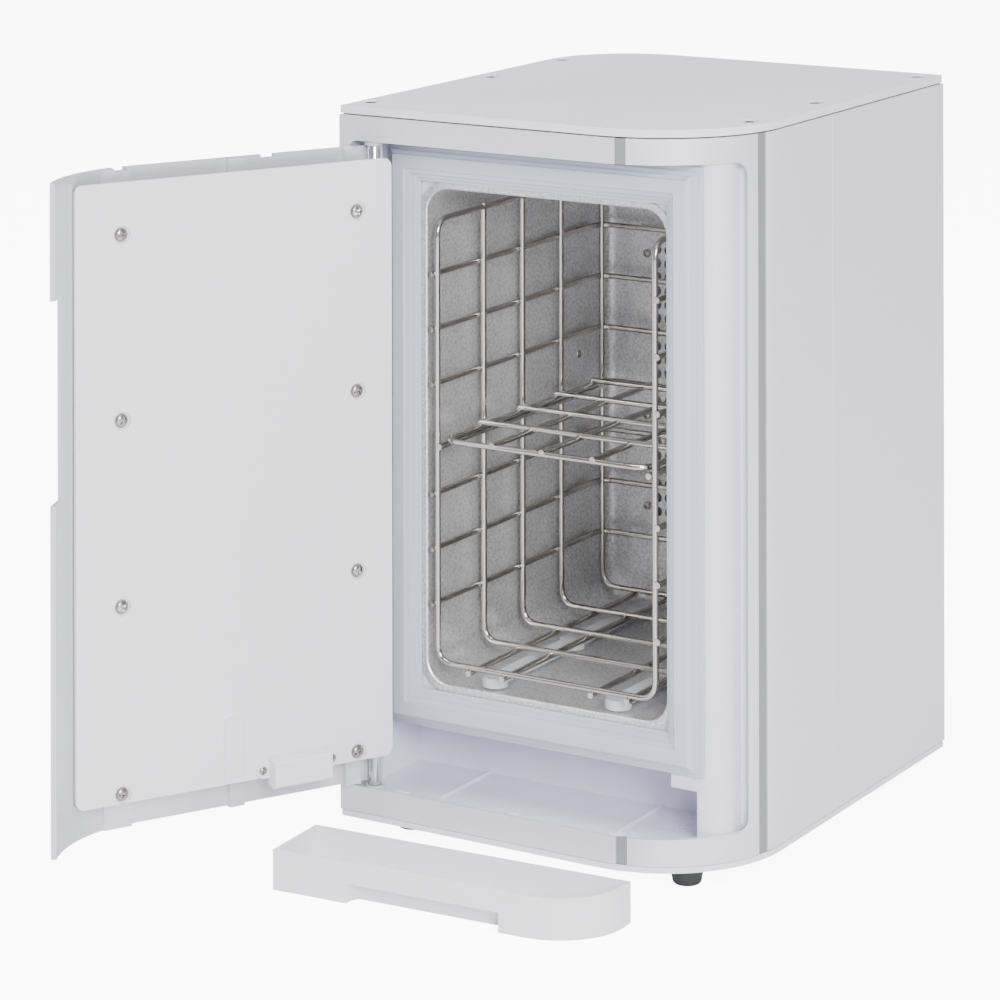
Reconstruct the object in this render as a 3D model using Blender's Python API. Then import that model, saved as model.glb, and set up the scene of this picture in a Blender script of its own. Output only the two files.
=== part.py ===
"""Countertop UV sterilizer cabinet: case, door, wire basket with shelf, drip tray."""
import math

import bmesh
import bpy
from mathutils import Vector

MM = 0.001

# ---- driving sizes, in millimetres; x right along the front, y back, z up from the base plate
CASE_W = 210.0
CASE_D = 253.0
CASE_H = 350.0
FOOT_H = 7.0
R_FRONT = 65.0          # plan radius of the front right corner
R_BACK = 50.0           # plan radius of the back left corner
PLATE_TOP = 3.7
PLATE_BASE = 3.0
SKIN = 1.6              # side and rear sheets
GAP = 0.3               # clearance left between neighbouring pieces

FRAME_T = 2.5
OPEN_X0 = 5.8           # door opening in the front frame
OPEN_X1 = 205.3
OPEN_Z0 = 16.0
OPEN_Z1 = 333.3
SEAM_X0 = 155.8         # strip between the flat and the curved frame piece
SEAM_X1 = 160.6

FACE_Y = 25.3           # front face of the liner, where the gasket sits
RECESS_Y = 64.0         # back of the tray recess
FLOOR_Z = 11.0          # floor of the tray recess
CEIL_Z = 43.0           # ceiling of the tray recess
LINER_T = 2.0

CH_X0, CH_X1 = 35.8, 170.3      # chamber opening
CH_Z0, CH_Z1 = 65.0, 309.0
CH_Y0, CH_Y1 = 24.0, 203.0
CH_R = 12.0
CH_T = 1.0

GASKET_Y = 17.0

HINGE = (16.6, 6.0)
DOOR_OPEN = 118.4       # degrees, as left standing open
DOOR_Z0, DOOR_Z1 = 18.0, 330.5
DOOR_X0 = 10.0
DOOR_T = 2.6
DOOR_ARC = 57.0         # how far the shell wraps round the corner
GRIP_ARC = 45.5
PANEL_X0 = 12.6
PANEL_Z0, PANEL_Z1 = 33.2, 325.6
PANEL_Y0, PANEL_Y1 = 14.5, 16.7

WIRE = 3.0              # basket and shelf wire
WELD = 2.4              # centre distance of two crossing wires
HOOP_X0, HOOP_X1 = 41.0, 163.6
HOOP_Y = (25.5, 69.0, 107.0, 146.0, 189.0)
HOOP_Z = 75.2
ROW_Z = (103.7, 130.8, 157.9, 212.1, 239.2, 266.3, 293.4)
RAIL_Z = 182.0
SHELF_Z = 185.3

TRAY_W, TRAY_D, TRAY_H = 168.0, 39.5, 19.0
TRAY_AT = (19.9, -86.9)
TRAY_TURN = 3.4         # degrees

COLLECTION = bpy.context.scene.collection


# ---- helpers -------------------------------------------------------------------------------
def clear_scene():
    for obj in list(bpy.data.objects):
        bpy.data.objects.remove(obj, do_unlink=True)


def material(name, color, metallic=0.0, roughness=0.5, alpha=1.0):
    mat = bpy.data.materials.new(name)
    mat.use_nodes = True
    bsdf = mat.node_tree.nodes["Principled BSDF"]
    bsdf.inputs["Base Color"].default_value = (*color, 1.0)
    bsdf.inputs["Metallic"].default_value = metallic
    bsdf.inputs["Roughness"].default_value = roughness
    bsdf.inputs["Alpha"].default_value = alpha
    return mat


def add_mesh(name, verts, faces, mat, parent=None, at=(0, 0, 0)):
    """Mesh object from millimetre coordinates; `at` is subtracted, being the parent's place."""
    mesh = bpy.data.meshes.new(name)
    points = [((x - at[0]) * MM, (y - at[1]) * MM, (z - at[2]) * MM) for x, y, z in verts]
    mesh.from_pydata(points, [], faces)
    bm = bmesh.new()
    bm.from_mesh(mesh)
    bmesh.ops.recalc_face_normals(bm, faces=bm.faces)
    bm.to_mesh(mesh)
    bm.free()
    obj = bpy.data.objects.new(name, mesh)
    COLLECTION.objects.link(obj)
    if mat is not None:
        mesh.materials.append(mat)
    obj.parent = parent
    return obj


def place(axis, a, b, c):
    """Point from two outline coordinates and a depth along the extrusion axis."""
    if axis == "Z":
        return (a, b, c)
    if axis == "Y":
        return (a, c, b)
    return (c, a, b)


def prism(name, outline, d0, d1, mat, axis="Z", **where):
    n = len(outline)
    verts = [place(axis, a, b, d0) for a, b in outline]
    verts += [place(axis, a, b, d1) for a, b in outline]
    faces = [tuple(range(n)), tuple(range(n, 2 * n))]
    faces += [(i, (i + 1) % n, n + (i + 1) % n, n + i) for i in range(n)]
    return add_mesh(name, verts, faces, mat, **where)


def box(name, x0, x1, y0, y1, z0, z1, mat, **where):
    return prism(name, [(x0, y0), (x1, y0), (x1, y1), (x0, y1)], z0, z1, mat, **where)


def loft(name, loops, mat, **where):
    """Closed body through equal-length loops, capped at both ends."""
    n = len(loops[0])
    verts = [p for loop in loops for p in loop]
    faces = [tuple(range(n))]
    for k in range(len(loops) - 1):
        a, b = k * n, (k + 1) * n
        faces += [(a + i, a + (i + 1) % n, b + (i + 1) % n, b + i) for i in range(n)]
    last = (len(loops) - 1) * n
    faces.append(tuple(range(last, last + n)))
    return add_mesh(name, verts, faces, mat, **where)


def ring(name, loops, mat, **where):
    """Closed body whose loops join up again, like a frame."""
    n = len(loops[0])
    m = len(loops)
    verts = [p for loop in loops for p in loop]
    faces = []
    for k in range(m):
        a, b = k * n, ((k + 1) % m) * n
        faces += [(a + i, a + (i + 1) % n, b + (i + 1) % n, b + i) for i in range(n)]
    return add_mesh(name, verts, faces, mat, **where)


def turned(name, profile, centre, mat, axis="Z", sides=16, **where):
    """Body of revolution; profile is (radius, height) from one end to the other."""
    loops = []
    for r, h in profile:
        loop = []
        for k in range(sides):
            t = 2 * math.pi * k / sides
            a = r * math.cos(t)
            b = r * math.sin(t)
            p = place(axis, a, b, h)
            loop.append(tuple(p[i] + centre[i] for i in range(3)))
        loops.append(loop)
    return loft(name, loops, mat, **where)


def rounded(x0, x1, z0, z1, r, steps=4):
    pts = []
    for cx, cz, start in ((x1 - r, z1 - r, 0), (x0 + r, z1 - r, 90), (x0 + r, z0 + r, 180),
                          (x1 - r, z0 + r, 270)):
        for k in range(steps + 1):
            t = math.radians(start + 90 * k / steps)
            pts.append((cx + r * math.cos(t), cz + r * math.sin(t)))
    return pts


def arc(cx, cy, r, a0, a1, steps):
    """Points on a circle; angles in degrees from +x."""
    out = []
    for k in range(steps + 1):
        t = math.radians(a0 + (a1 - a0) * k / steps)
        out.append((cx + r * math.cos(t), cy + r * math.sin(t)))
    return out


def corner_arc(inset, wrap0, wrap1, steps=8):
    """Front right corner, from `wrap0` to `wrap1` degrees round from the front face."""
    return arc(CASE_W - R_FRONT, R_FRONT, R_FRONT - inset, -90 + wrap0, -90 + wrap1, steps)


def wrap_at_x(x):
    return math.degrees(math.asin((x - (CASE_W - R_FRONT)) / R_FRONT))


def wrap_at_y(y):
    return math.degrees(math.acos((R_FRONT - y) / R_FRONT))


def wrap_inside(y, inset):
    return math.degrees(math.acos((R_FRONT - y) / (R_FRONT - inset)))


def cutter(obj):
    obj.hide_render = True
    obj.display_type = "WIRE"
    return obj


def combine(obj, others, how):
    for other in others:
        cutter(other)
        mod = obj.modifiers.new(how.title(), "BOOLEAN")
        mod.operation = how
        mod.solver = "EXACT"
        mod.object = other
    return obj


def cut(obj, *others):
    return combine(obj, others, "DIFFERENCE")


def join(obj, *others):
    return combine(obj, others, "UNION")


def tube(name, path, mat, radius=WIRE / 2, sides=6, closed=False, **where):
    """Round wire along a polyline."""
    pts = [Vector(p) for p in path]
    n = len(pts)
    loops = []
    side = None
    for i, p in enumerate(pts):
        before = pts[i - 1] if (i or closed) else None
        after = pts[(i + 1) % n] if (i < n - 1 or closed) else None
        d0 = (p - before).normalized() if before is not None else (after - p).normalized()
        d1 = (after - p).normalized() if after is not None else d0
        along = (d0 + d1).normalized()
        if side is None:
            guess = Vector((0, 0, 1)) if abs(along.z) < 0.7 else Vector((0, 1, 0))
            side = guess.cross(along).normalized()
        side = (side - along * side.dot(along)).normalized()
        up = along.cross(side)
        stretch = 1.0 / max(0.5, along.dot(d0))
        bend = d1 - d0
        bend = bend.normalized() if bend.length > 1e-6 else None
        loop = []
        for k in range(sides):
            t = 2 * math.pi * (k + 0.5) / sides
            off = (side * math.cos(t) + up * math.sin(t)) * radius
            if bend is not None:
                off += bend * off.dot(bend) * (stretch - 1.0)
            loop.append(tuple(p + off))
        loops.append(loop)
    if closed:
        return ring(name, loops, mat, **where)
    return loft(name, loops, mat, **where)


def welded(name, wires, mat, **where):
    """Several crossing wires made into one body."""
    group = bpy.data.collections.new(name + "_wires")
    bpy.context.scene.collection.children.link(group)
    body = tube(name, wires[0][0], mat, closed=wires[0][1], **where)
    for k, (path, closed) in enumerate(wires[1:]):
        piece = tube(f"{name}_wire_{k}", path, mat, closed=closed, **where)
        COLLECTION.objects.unlink(piece)
        group.objects.link(piece)
        cutter(piece)
    mod = body.modifiers.new("Weld", "BOOLEAN")
    mod.operation = "UNION"
    mod.solver = "EXACT"
    mod.operand_type = "COLLECTION"
    mod.collection = group
    return body


def pivot(name, at, parent, turn=0.0):
    empty = bpy.data.objects.new(name, None)
    COLLECTION.objects.link(empty)
    empty.empty_display_size = 0.02
    empty.parent = parent
    empty.location = [c * MM for c in at]
    empty.rotation_euler = (0, 0, math.radians(turn))
    return empty


# ---- case ----------------------------------------------------------------------------------
def plan_outline():
    pts = arc(2.0, 2.0, 2.0, 180, 270, 2)
    pts += corner_arc(0, 0, 90, 14)
    pts += arc(CASE_W - 3.0, CASE_D - 3.0, 3.0, 0, 90, 2)
    pts += arc(R_BACK, CASE_D - R_BACK, R_BACK, 90, 180, 10)
    return pts


def sheet(name, outer, inner, z0, z1, mat, **where):
    return prism(name, list(outer) + list(reversed(inner)), z0, z1, mat, **where)


TOP_SCREWS = ((6.9, 18.0), (9.4, 127.8), (6.9, 205.3), (198.9, 55.1), (197.7, 127.9),
              (200.1, 240.2))


def build_case(root, mats):
    outline = plan_outline()
    prism("base_plate", outline, 0, PLATE_BASE, mats["base"], parent=root)
    top = prism("top_plate", outline, CASE_H - PLATE_TOP, CASE_H, mats["top"], parent=root)
    seats = []
    for k, (x, y) in enumerate(TOP_SCREWS):
        seat = turned(f"top_seat_{k}", [(2.1, CASE_H - 5), (2.1, CASE_H - 1.6),
                                        (4.7, CASE_H - 1.6), (4.7, CASE_H + 1)],
                      (x, y, 0), None, sides=10, parent=root)
        seats.append(seat)
        turned(f"top_screw_{k + 1}", [(1.5, CASE_H - 9), (1.5, CASE_H - 1.4),
                                      (4.2, CASE_H - 1.4), (3.7, CASE_H - 0.5),
                                      (2.2, CASE_H - 0.15)],
               (x, y, 0), mats["screw"], sides=10, parent=root)
    cut(top, *seats)

    z0 = PLATE_BASE + GAP
    z1 = CASE_H - PLATE_TOP - GAP
    back = CASE_D - R_BACK
    sheet("left_panel",
          [(0, FRAME_T + GAP), (0, back)] + arc(R_BACK, back, R_BACK, 180, 90, 10)[1:],
          [(SKIN, FRAME_T + GAP), (SKIN, back)]
          + arc(R_BACK, back, R_BACK - SKIN, 180, 90, 10)[1:],
          z0, z1, mats["panel"], parent=root)
    sheet("right_panel_front",
          corner_arc(0, wrap_at_y(53.7), 90, 2) + [(CASE_W, 121.7)],
          corner_arc(SKIN, wrap_at_y(53.7), 90, 2) + [(CASE_W - SKIN, 121.7)],
          z0, z1, mats["panel"], parent=root)
    box("right_panel_rear", CASE_W - SKIN, CASE_W, 122.1, CASE_D - 0.2, z0, z1,
        mats["panel"], parent=root)
    rear = box("rear_panel", R_BACK + GAP, CASE_W - SKIN - GAP, CASE_D - SKIN, CASE_D, z0, z1,
               mats["panel"], parent=root)
    cut(rear,
        box("inlet_hole", INLET_X - 14, INLET_X + 14, CASE_D - 5, CASE_D + 5,
            SERVICE_Z - 10.5, SERVICE_Z + 10.5, None, parent=root),
        box("switch_hole", SWITCH_X - 10, SWITCH_X + 10, CASE_D - 5, CASE_D + 5,
            SERVICE_Z - 7, SERVICE_Z + 7, None, parent=root))

    # front frame: a flat piece and a curved one, with a strip in each joint between them
    x_end = SEAM_X0 - GAP
    r = 4.2
    opening = [(x_end, OPEN_Z0)]
    opening += [(OPEN_X0 + r + r * math.cos(math.radians(t)), OPEN_Z0 + r + r * math.sin(
        math.radians(t))) for t in (270, 247.5, 225, 202.5, 180)]
    opening += [(OPEN_X0 + r + r * math.cos(math.radians(t)), OPEN_Z1 - r + r * math.sin(
        math.radians(t))) for t in (180, 157.5, 135, 112.5, 90)]
    opening += [(x_end, OPEN_Z1)]
    flat = prism("front_frame_left", [(0, z0), (x_end, z0)] + opening + [(x_end, z1), (0, z1)],
                 0, FRAME_T, mats["frame"], axis="Y", parent=root)
    cut(flat, turned("bush_relief_low", [(5.2, 6.0), (5.2, 30.0)], (*HINGE, 0), None, sides=20,
                     parent=root),
        turned("bush_relief_high", [(5.2, 325.0), (5.2, 340.0)], (*HINGE, 0), None, sides=20,
               parent=root))
    w0 = wrap_at_x(SEAM_X1 + GAP)
    w1 = wrap_at_y(47.3)
    corner = sheet("front_frame_corner", corner_arc(0, w0, w1, 12),
                   corner_arc(FRAME_T, w0, w1, 12), z0, z1, mats["frame"], parent=root)
    hole = [(120, OPEN_Z0)]
    hole += [(OPEN_X1 - 3.4 + 3.4 * math.cos(math.radians(t)), OPEN_Z0 + 6 + 6 * math.sin(
        math.radians(t))) for t in (270, 300, 330, 360)]
    hole += [(OPEN_X1 - 3.4 + 3.4 * math.cos(math.radians(t)), OPEN_Z1 - 6 + 6 * math.sin(
        math.radians(t))) for t in (0, 30, 60, 90)]
    hole += [(120, OPEN_Z1)]
    cut(corner, prism("corner_hole", hole, -10, 60, None, axis="Y", parent=root))
    s0 = wrap_at_x(SEAM_X0)
    s1 = wrap_at_x(SEAM_X1)
    for name, a, b in (("seam_strip_top", OPEN_Z1, z1), ("seam_strip_bottom", z0, OPEN_Z0)):
        sheet(name, corner_arc(0.5, s0, s1, 2), corner_arc(FRAME_T, s0, s1, 2), a, b,
              mats["strip"], parent=root)
    g0 = wrap_at_y(48.2)
    g1 = wrap_at_y(52.9)
    sheet("side_groove_strip", corner_arc(0.6, g0, g1, 2), corner_arc(FRAME_T, g0, g1, 2),
          z0, z1, mats["strip"], parent=root)

    for name, x, y in (("foot_front_left", 28, 22), ("foot_front_right", 182, 22.5),
                       ("foot_back_left", 33, 226), ("foot_back_right", 182, 228)):
        turned(name, [(6.3, -FOOT_H), (7.0, -FOOT_H + 1.0), (8.0, -0.2)], (x, y, 0),
               mats["foot"], sides=14, parent=root)


# ---- liner, gasket, chamber ----------------------------------------------------------------
def build_liner(root, mats):
    inset = FRAME_T + GAP
    left = OPEN_X0 - 0.2
    front_edge = corner_arc(inset, 0, wrap_at_y(47.3), 10)
    column = [(186.0, FACE_Y)] + arc(186.0, FACE_Y + 13.5, 13.5, -90, 0, 6)[1:]
    column += [(199.5, 44.6), (204.6, 47.6)]
    column_back = [(186.0, FACE_Y + LINER_T)]
    column_back += arc(186.0, FACE_Y + 13.5, 11.5, -90, 0, 6)[1:]
    column_back += [(197.5, 46.4), (203.4, 49.6)]
    top_z = OPEN_Z1 + 0.8

    face = [(left, FACE_Y)] + column
    face_back = [(left, FACE_Y + LINER_T)] + column_back
    body = sheet("front_liner", face, face_back, FLOOR_Z - 1, top_z + 1, mats["liner"],
                 parent=root)
    # walls forward to the frame, floor and top, then the recess behind them
    end = 186.0
    floor = [(left - LINER_T, inset)] + front_edge + [(204.6, 48.0), (end + LINER_T, 54.0),
                                                      (end + LINER_T, RECESS_Y + LINER_T),
                                                      (left - LINER_T, RECESS_Y + LINER_T)]
    roof = [(left - LINER_T, inset)] + front_edge + [(203.4, 49.6), (197.5, 46.4),
                                                     (186.0, FACE_Y + LINER_T),
                                                     (left - LINER_T, FACE_Y + LINER_T)]
    join(body,
         prism("liner_floor", floor, FLOOR_Z - LINER_T, FLOOR_Z, None, parent=root),
         prism("liner_roof", roof, top_z, top_z + LINER_T, None, parent=root),
         box("liner_left", left - LINER_T, left, inset, FACE_Y + LINER_T,
             FLOOR_Z - LINER_T, top_z + LINER_T, None, parent=root),
         prism("liner_recess",
               [(left - LINER_T, FACE_Y), (end + LINER_T, FACE_Y + LINER_T / 2),
                (end + LINER_T, RECESS_Y + LINER_T), (left - LINER_T, RECESS_Y + LINER_T)],
               FLOOR_Z - LINER_T, CEIL_Z + LINER_T, None, parent=root))
    cut(body,
        prism("recess_left", [(left, inset + 2), (172.0, inset + 2), (172.0, RECESS_Y),
                              (left, RECESS_Y)], FLOOR_Z, CEIL_Z, None, parent=root),
        box("recess_right", 171.0, end, 20.0, RECESS_Y, FLOOR_Z, CEIL_Z - 7.4, None,
            parent=root),
        prism("chamber_hole", rounded(CH_X0 - CH_T - 0.6, CH_X1 + CH_T + 0.6,
                                      CH_Z0 - CH_T - 0.6, CH_Z1 + CH_T + 0.6, CH_R + 1.6),
              FACE_Y - 5, FACE_Y + 8, None, axis="Y", parent=root),
        prism("socket_hole", arc(HINGE[0], HINGE[1], 5.4, 0, 330, 11), 0, FLOOR_Z + 4, None,
              parent=root),
        prism("bush_hole", arc(HINGE[0], HINGE[1], 5.2, 0, 330, 11), OPEN_Z1 - 5, CASE_H - 8,
              None, parent=root))

    # bellows gasket: one section swept round the opening with mitred corners
    section = [(0.0, 25.0), (0.0, 22.9), (2.6, 22.0), (2.2, 20.9), (4.4, 20.1), (4.2, 19.0),
               (6.0, 18.0), (6.0, GASKET_Y), (12.6, GASKET_Y), (12.6, 18.0), (15.2, 18.9),
               (14.6, 19.8), (17.2, 20.7), (16.8, 21.6), (19.0, 22.4), (19.0, 23.7),
               (14.6, 23.7), (14.6, 25.0)]
    x0, x1, z0, z1 = 14.0, 190.5, 43.0, 331.5
    loops = []
    for sx, sz in ((0, 0), (1, 0), (1, 1), (0, 1)):
        loop = []
        for a, y in section:
            loop.append((x1 - a if sx else x0 + a, y, z1 - a if sz else z0 + a))
        loops.append(loop)
    ring("gasket", loops, mats["gasket"], parent=root)

    def at(inset_, y):
        rad = max(2.0, CH_R - inset_)
        pts = rounded(CH_X0 + inset_, CH_X1 - inset_, CH_Z0 + inset_, CH_Z1 - inset_, rad)
        return [(x, y, z) for x, z in pts]

    loops = [at(7.0, CH_Y1), at(2.0, CH_Y1 - 2.0), at(0, CH_Y1 - 7.0), at(0, CH_Y0),
             at(-3.8, CH_Y0), at(-3.8, CH_Y0 + CH_T), at(-CH_T, CH_Y0 + CH_T),
             at(-CH_T, CH_Y1 - 6.6), at(1.3, CH_Y1 - 1.3), at(6.6, CH_Y1 + CH_T)]
    chamber = loft("chamber", loops, mats["chamber"], parent=root)
    cut(chamber, box("lamp_window", 61.0, 145.0, CH_Y1 - 5, CH_Y1 + 5, 108.0, 262.0, None,
                     parent=root))
    y0, y1 = 30.0, 196.0
    sleeve = prism("chamber_insulation", rounded(26.0, 180.0, 53.4, 318.6, 20.0), y0, y1,
                   mats["foam_white"], axis="Y", parent=root)
    cut(sleeve, prism("sleeve_hole", rounded(34.2, 171.9, 61.4, 310.6, 13.2), y0 - 5, y1 + 5,
                      None, axis="Y", parent=root))
    box("heater_mat", 52.0, 154.0, 40.0, 186.0, 61.8, 63.7, mats["heater"], parent=root)
    turned("thermostat", [(9.0, 204.4), (9.0, 209.0), (6.5, 209.0), (6.5, 217.0)],
           (152.0, 0, 88.0), mats["dark_plastic"], axis="Y", sides=12, parent=root)


# ---- lamp and electrics --------------------------------------------------------------------
INLET_X = 168.0
SWITCH_X = 128.0
SERVICE_Z = 34.0
LAMP_X = 103.0
LAMP_Y = 219.0
HOLE_COLS = 11
HOLE_ROWS = 20
HOLE_PITCH_X = 7.16
HOLE_PITCH_Z = 7.3
HOLE_Z0 = 115.0


def build_lamp(root, mats):
    guard = box("lamp_guard", 57.0, 149.0, 201.7, 202.7, 104.0, 266.0, mats["guard"], parent=root)
    verts = []
    faces = []
    for i in range(HOLE_COLS):
        for j in range(HOLE_ROWS):
            x = LAMP_X + (i - (HOLE_COLS - 1) / 2) * HOLE_PITCH_X
            z = HOLE_Z0 + j * HOLE_PITCH_Z
            n = len(verts)
            for y in (200.0, 204.0):
                verts += [(x + 2.7, y, z), (x, y, z + 2.7), (x - 2.7, y, z), (x, y, z - 2.7)]
            faces += [(n, n + 1, n + 2, n + 3), (n + 4, n + 5, n + 6, n + 7)]
            faces += [(n + k, n + (k + 1) % 4, n + 4 + (k + 1) % 4, n + 4 + k) for k in range(4)]
    cut(guard, add_mesh("guard_holes", verts, faces, None, parent=root))

    lamp_box = box("lamp_box", 57.0, 149.0, CH_Y1 + CH_T + 0.3, 236.0, 104.0, 266.0,
                   mats["panel"], parent=root)
    cut(lamp_box, box("lamp_space", 58.2, 147.8, 190.0, 234.8, 105.2, 264.8, None, parent=root))
    turned("uv_lamp", [(6.6, 117.0), (7.8, 118.5), (7.8, 251.5), (6.6, 253.0)],
           (LAMP_X, LAMP_Y, 0), mats["lamp"], sides=12, parent=root)
    for name, z0, z1, mouth in (("lamp_socket_bottom", 105.5, 121.0, (116.8, 130.0)),
                                ("lamp_socket_top", 249.0, 264.5, (240.0, 253.2))):
        block = box(name, LAMP_X - 11, LAMP_X + 11, LAMP_Y - 10, LAMP_Y + 15.2, z0, z1,
                    mats["socket"], parent=root)
        cut(block, turned(name + "_mouth", [(8.2, mouth[0]), (8.2, mouth[1])],
                          (LAMP_X, LAMP_Y, 0), None, sides=12, parent=root))
    box("lamp_ballast", 50.0, 130.0, 150.0, 190.0, PLATE_BASE + GAP, 30.0,
        mats["dark_plastic"], parent=root)
    box("door_switch", 48.0, 74.0, 10.0, 18.0, PLATE_BASE + GAP, FLOOR_Z - LINER_T - GAP,
        mats["dark_plastic"], parent=root)

    inlet = box("power_inlet", INLET_X - 13.5, INLET_X + 13.5, 234.0, CASE_D + 0.1,
                SERVICE_Z - 10, SERVICE_Z + 10, mats["dark_plastic"], parent=root)
    join(inlet, box("inlet_flange", INLET_X - 16, INLET_X + 16, CASE_D + 0.05, CASE_D + 2.6,
                    SERVICE_Z - 12.5, SERVICE_Z + 12.5, None, parent=root))
    cut(inlet, prism("inlet_socket", [(INLET_X - 11, SERVICE_Z - 7), (INLET_X + 11, SERVICE_Z - 7),
                                      (INLET_X + 11, SERVICE_Z + 3), (INLET_X + 7, SERVICE_Z + 7),
                                      (INLET_X - 7, SERVICE_Z + 7), (INLET_X - 11, SERVICE_Z + 3)],
                     238.0, 260.0, None, axis="Y", parent=root))
    for k, (dx, dz) in enumerate(((-6.5, -1.5), (0, 2.5), (6.5, -1.5))):
        join(inlet, box(f"inlet_pin_{k}", INLET_X + dx - 1, INLET_X + dx + 1, 236.0, 250.0,
                        SERVICE_Z + dz - 2, SERVICE_Z + dz + 2, None, parent=root))

    housing = box("switch_housing", SWITCH_X - 9.6, SWITCH_X + 9.6, 238.0, CASE_D + 0.1,
                  SERVICE_Z - 6.6, SERVICE_Z + 6.6, mats["dark_plastic"], parent=root)
    join(housing, box("switch_flange", SWITCH_X - 11, SWITCH_X + 11, CASE_D + 0.05,
                      CASE_D + 1.8, SERVICE_Z - 8, SERVICE_Z + 8, None, parent=root))
    cut(housing, box("switch_well", SWITCH_X - 8, SWITCH_X + 8, 246.0, 260.0,
                     SERVICE_Z - 4.8, SERVICE_Z + 4.8, None, parent=root))


ROCKER_AXIS = (SWITCH_X, CASE_D - 1.0, SERVICE_Z)
ROCKER_TILT = 9.0


def build_rocker(root, mats):
    """Rocker on a vertical axle; it stands tilted to its off side."""
    hub = pivot("power_rocker_axis", ROCKER_AXIS, root, ROCKER_TILT)
    y = ROCKER_AXIS[1]
    plan = [(-7.0, -1.0), (0.0, -3.0), (7.0, -1.0), (7.0, 2.6), (0.0, 1.9), (-7.0, 2.6)]
    outline = [(SWITCH_X + a, y + b) for a, b in plan]
    prism("power_rocker", outline, SERVICE_Z - 4.4, SERVICE_Z + 4.4, mats["rocker"],
          parent=hub, at=ROCKER_AXIS)


# ---- door ----------------------------------------------------------------------------------
PANEL_SCREWS = [(x, z) for x in (31.4, 157.0) for z in (37.3, 125.6, 213.3, 300.9)]


def build_door(root, mats):
    axis = (HINGE[0], HINGE[1], 0.0)
    hub = pivot("door_axis", axis, root, -DOOR_OPEN)
    on = {"parent": hub, "at": axis}

    shell = sheet("door_shell", [(DOOR_X0, 0)] + corner_arc(0, 0, DOOR_ARC, 10),
                  [(DOOR_X0, DOOR_T)] + corner_arc(DOOR_T, 0, DOOR_ARC, 10),
                  DOOR_Z0, DOOR_Z1, mats["shell"], **on)
    grip = corner_arc(-4, GRIP_ARC, DOOR_ARC + 6, 4)
    grip += list(reversed(corner_arc(DOOR_T + 6, GRIP_ARC, DOOR_ARC + 6, 4)))
    join(shell,
         box("shell_rib_a", 147.5, 162.0, 2.2, 6.0, DOOR_Z0, DOOR_Z1, None, **on),
         box("shell_rib_b", 88.0, 96.0, 2.2, 6.0, DOOR_Z0, DOOR_Z1, None, **on),
         box("shell_rib_c", 24.5, 33.0, 2.2, 6.0, DOOR_Z0, DOOR_Z1, None, **on))
    cut(shell, prism("shell_grip", grip, 181.0, 276.0, None, **on))

    # foam core and inner sheet, both ending against the curve of the shell
    foam_y0 = 6.3
    foam_y1 = PANEL_Y0 - GAP
    lining = DOOR_T + GAP
    foam = prism("door_foam", [(24.5, foam_y0)]
                 + corner_arc(lining, wrap_inside(foam_y0, lining), wrap_inside(foam_y1, lining), 4)
                 + [(24.5, foam_y1)], PANEL_Z0 + 1.5, PANEL_Z1 - 1.5, mats["foam_black"], **on)
    panel = prism("door_inner_panel", [(PANEL_X0, PANEL_Y0)]
                  + corner_arc(lining, wrap_inside(PANEL_Y0, lining),
                               wrap_inside(PANEL_Y1, lining), 2)
                  + [(PANEL_X0, PANEL_Y1)], PANEL_Z0, PANEL_Z1, mats["white"], **on)
    head = PANEL_Y1 - 1.4
    for k, (x, z) in enumerate(PANEL_SCREWS):
        cut(foam, turned(f"foam_bore_{k}", [(2.2, 7.2), (2.2, 20.0)], (x, 0, z), None,
                         axis="Y", sides=6, **on))
        cut(panel, turned(f"panel_seat_{k}", [(1.8, 5.0), (1.8, head), (3.9, head), (3.9, 20.0)],
                          (x, 0, z), None, axis="Y", sides=8, **on))
        turned(f"door_screw_{k + 1}", [(1.4, 8.0), (1.4, head + 0.2), (3.4, head + 0.2),
                                       (3.0, head + 0.9), (1.8, head + 1.2)],
               (x, 0, z), mats["screw"], axis="Y", sides=8, **on)

    y = PANEL_Y1 + 0.2
    block = box("magnet_block", 43.5, 87.5, y, y + 1.4, 33.4, 41.0, mats["white"], **on)
    join(block, prism("magnet_case", [(y + 0.7, 29.4), (y + 7.0, 29.4), (y + 8.0, 30.4),
                                      (y + 8.0, 41.0), (y + 7.0, 42.4), (y + 0.7, 42.4)],
                      50.0, 81.0, None, axis="X", **on))
    turned("hinge_rod", [(3.1, 12.2), (3.1, 337.0)], (HINGE[0], HINGE[1], 0), mats["chrome"],
           sides=24, **on)

    turned_ring(root, "hinge_bush_bottom", 4.9, FLOOR_Z - 4.0, DOOR_Z0 - 1.5, mats["socket"],
                bore=12.0)
    turned_ring(root, "hinge_bush_top", 4.8, DOOR_Z1 + 0.5, 338.5, mats["socket"], bore=None)


def turned_ring(root, name, radius, z0, z1, mat, bore):
    """Hinge bush with a blind bore that the rod turns in."""
    centre = (HINGE[0], HINGE[1], 0)
    if bore is not None:
        profile = [(radius, z0), (radius, z1), (3.19, z1), (3.19, bore)]
    else:
        profile = [(radius, z1), (radius, z0), (3.19, z0), (3.19, 337.3)]
    turned(name, profile, centre, mat, sides=24, parent=root)


# ---- drip tray -----------------------------------------------------------------------------
def tray_outline(inset):
    x0, x1 = inset, TRAY_W - inset
    y0, y1 = inset, TRAY_D - inset
    rx, ry = 36.0 - inset, 33.0 - inset
    pts = [(x0, y1), (x0, y0)]
    for k in range(9):
        t = math.radians(-90 + 90 * k / 8)
        pts.append((x1 - rx + rx * math.cos(t), y0 + ry + ry * math.sin(t)))
    pts.append((x1, y1))
    return pts


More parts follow.
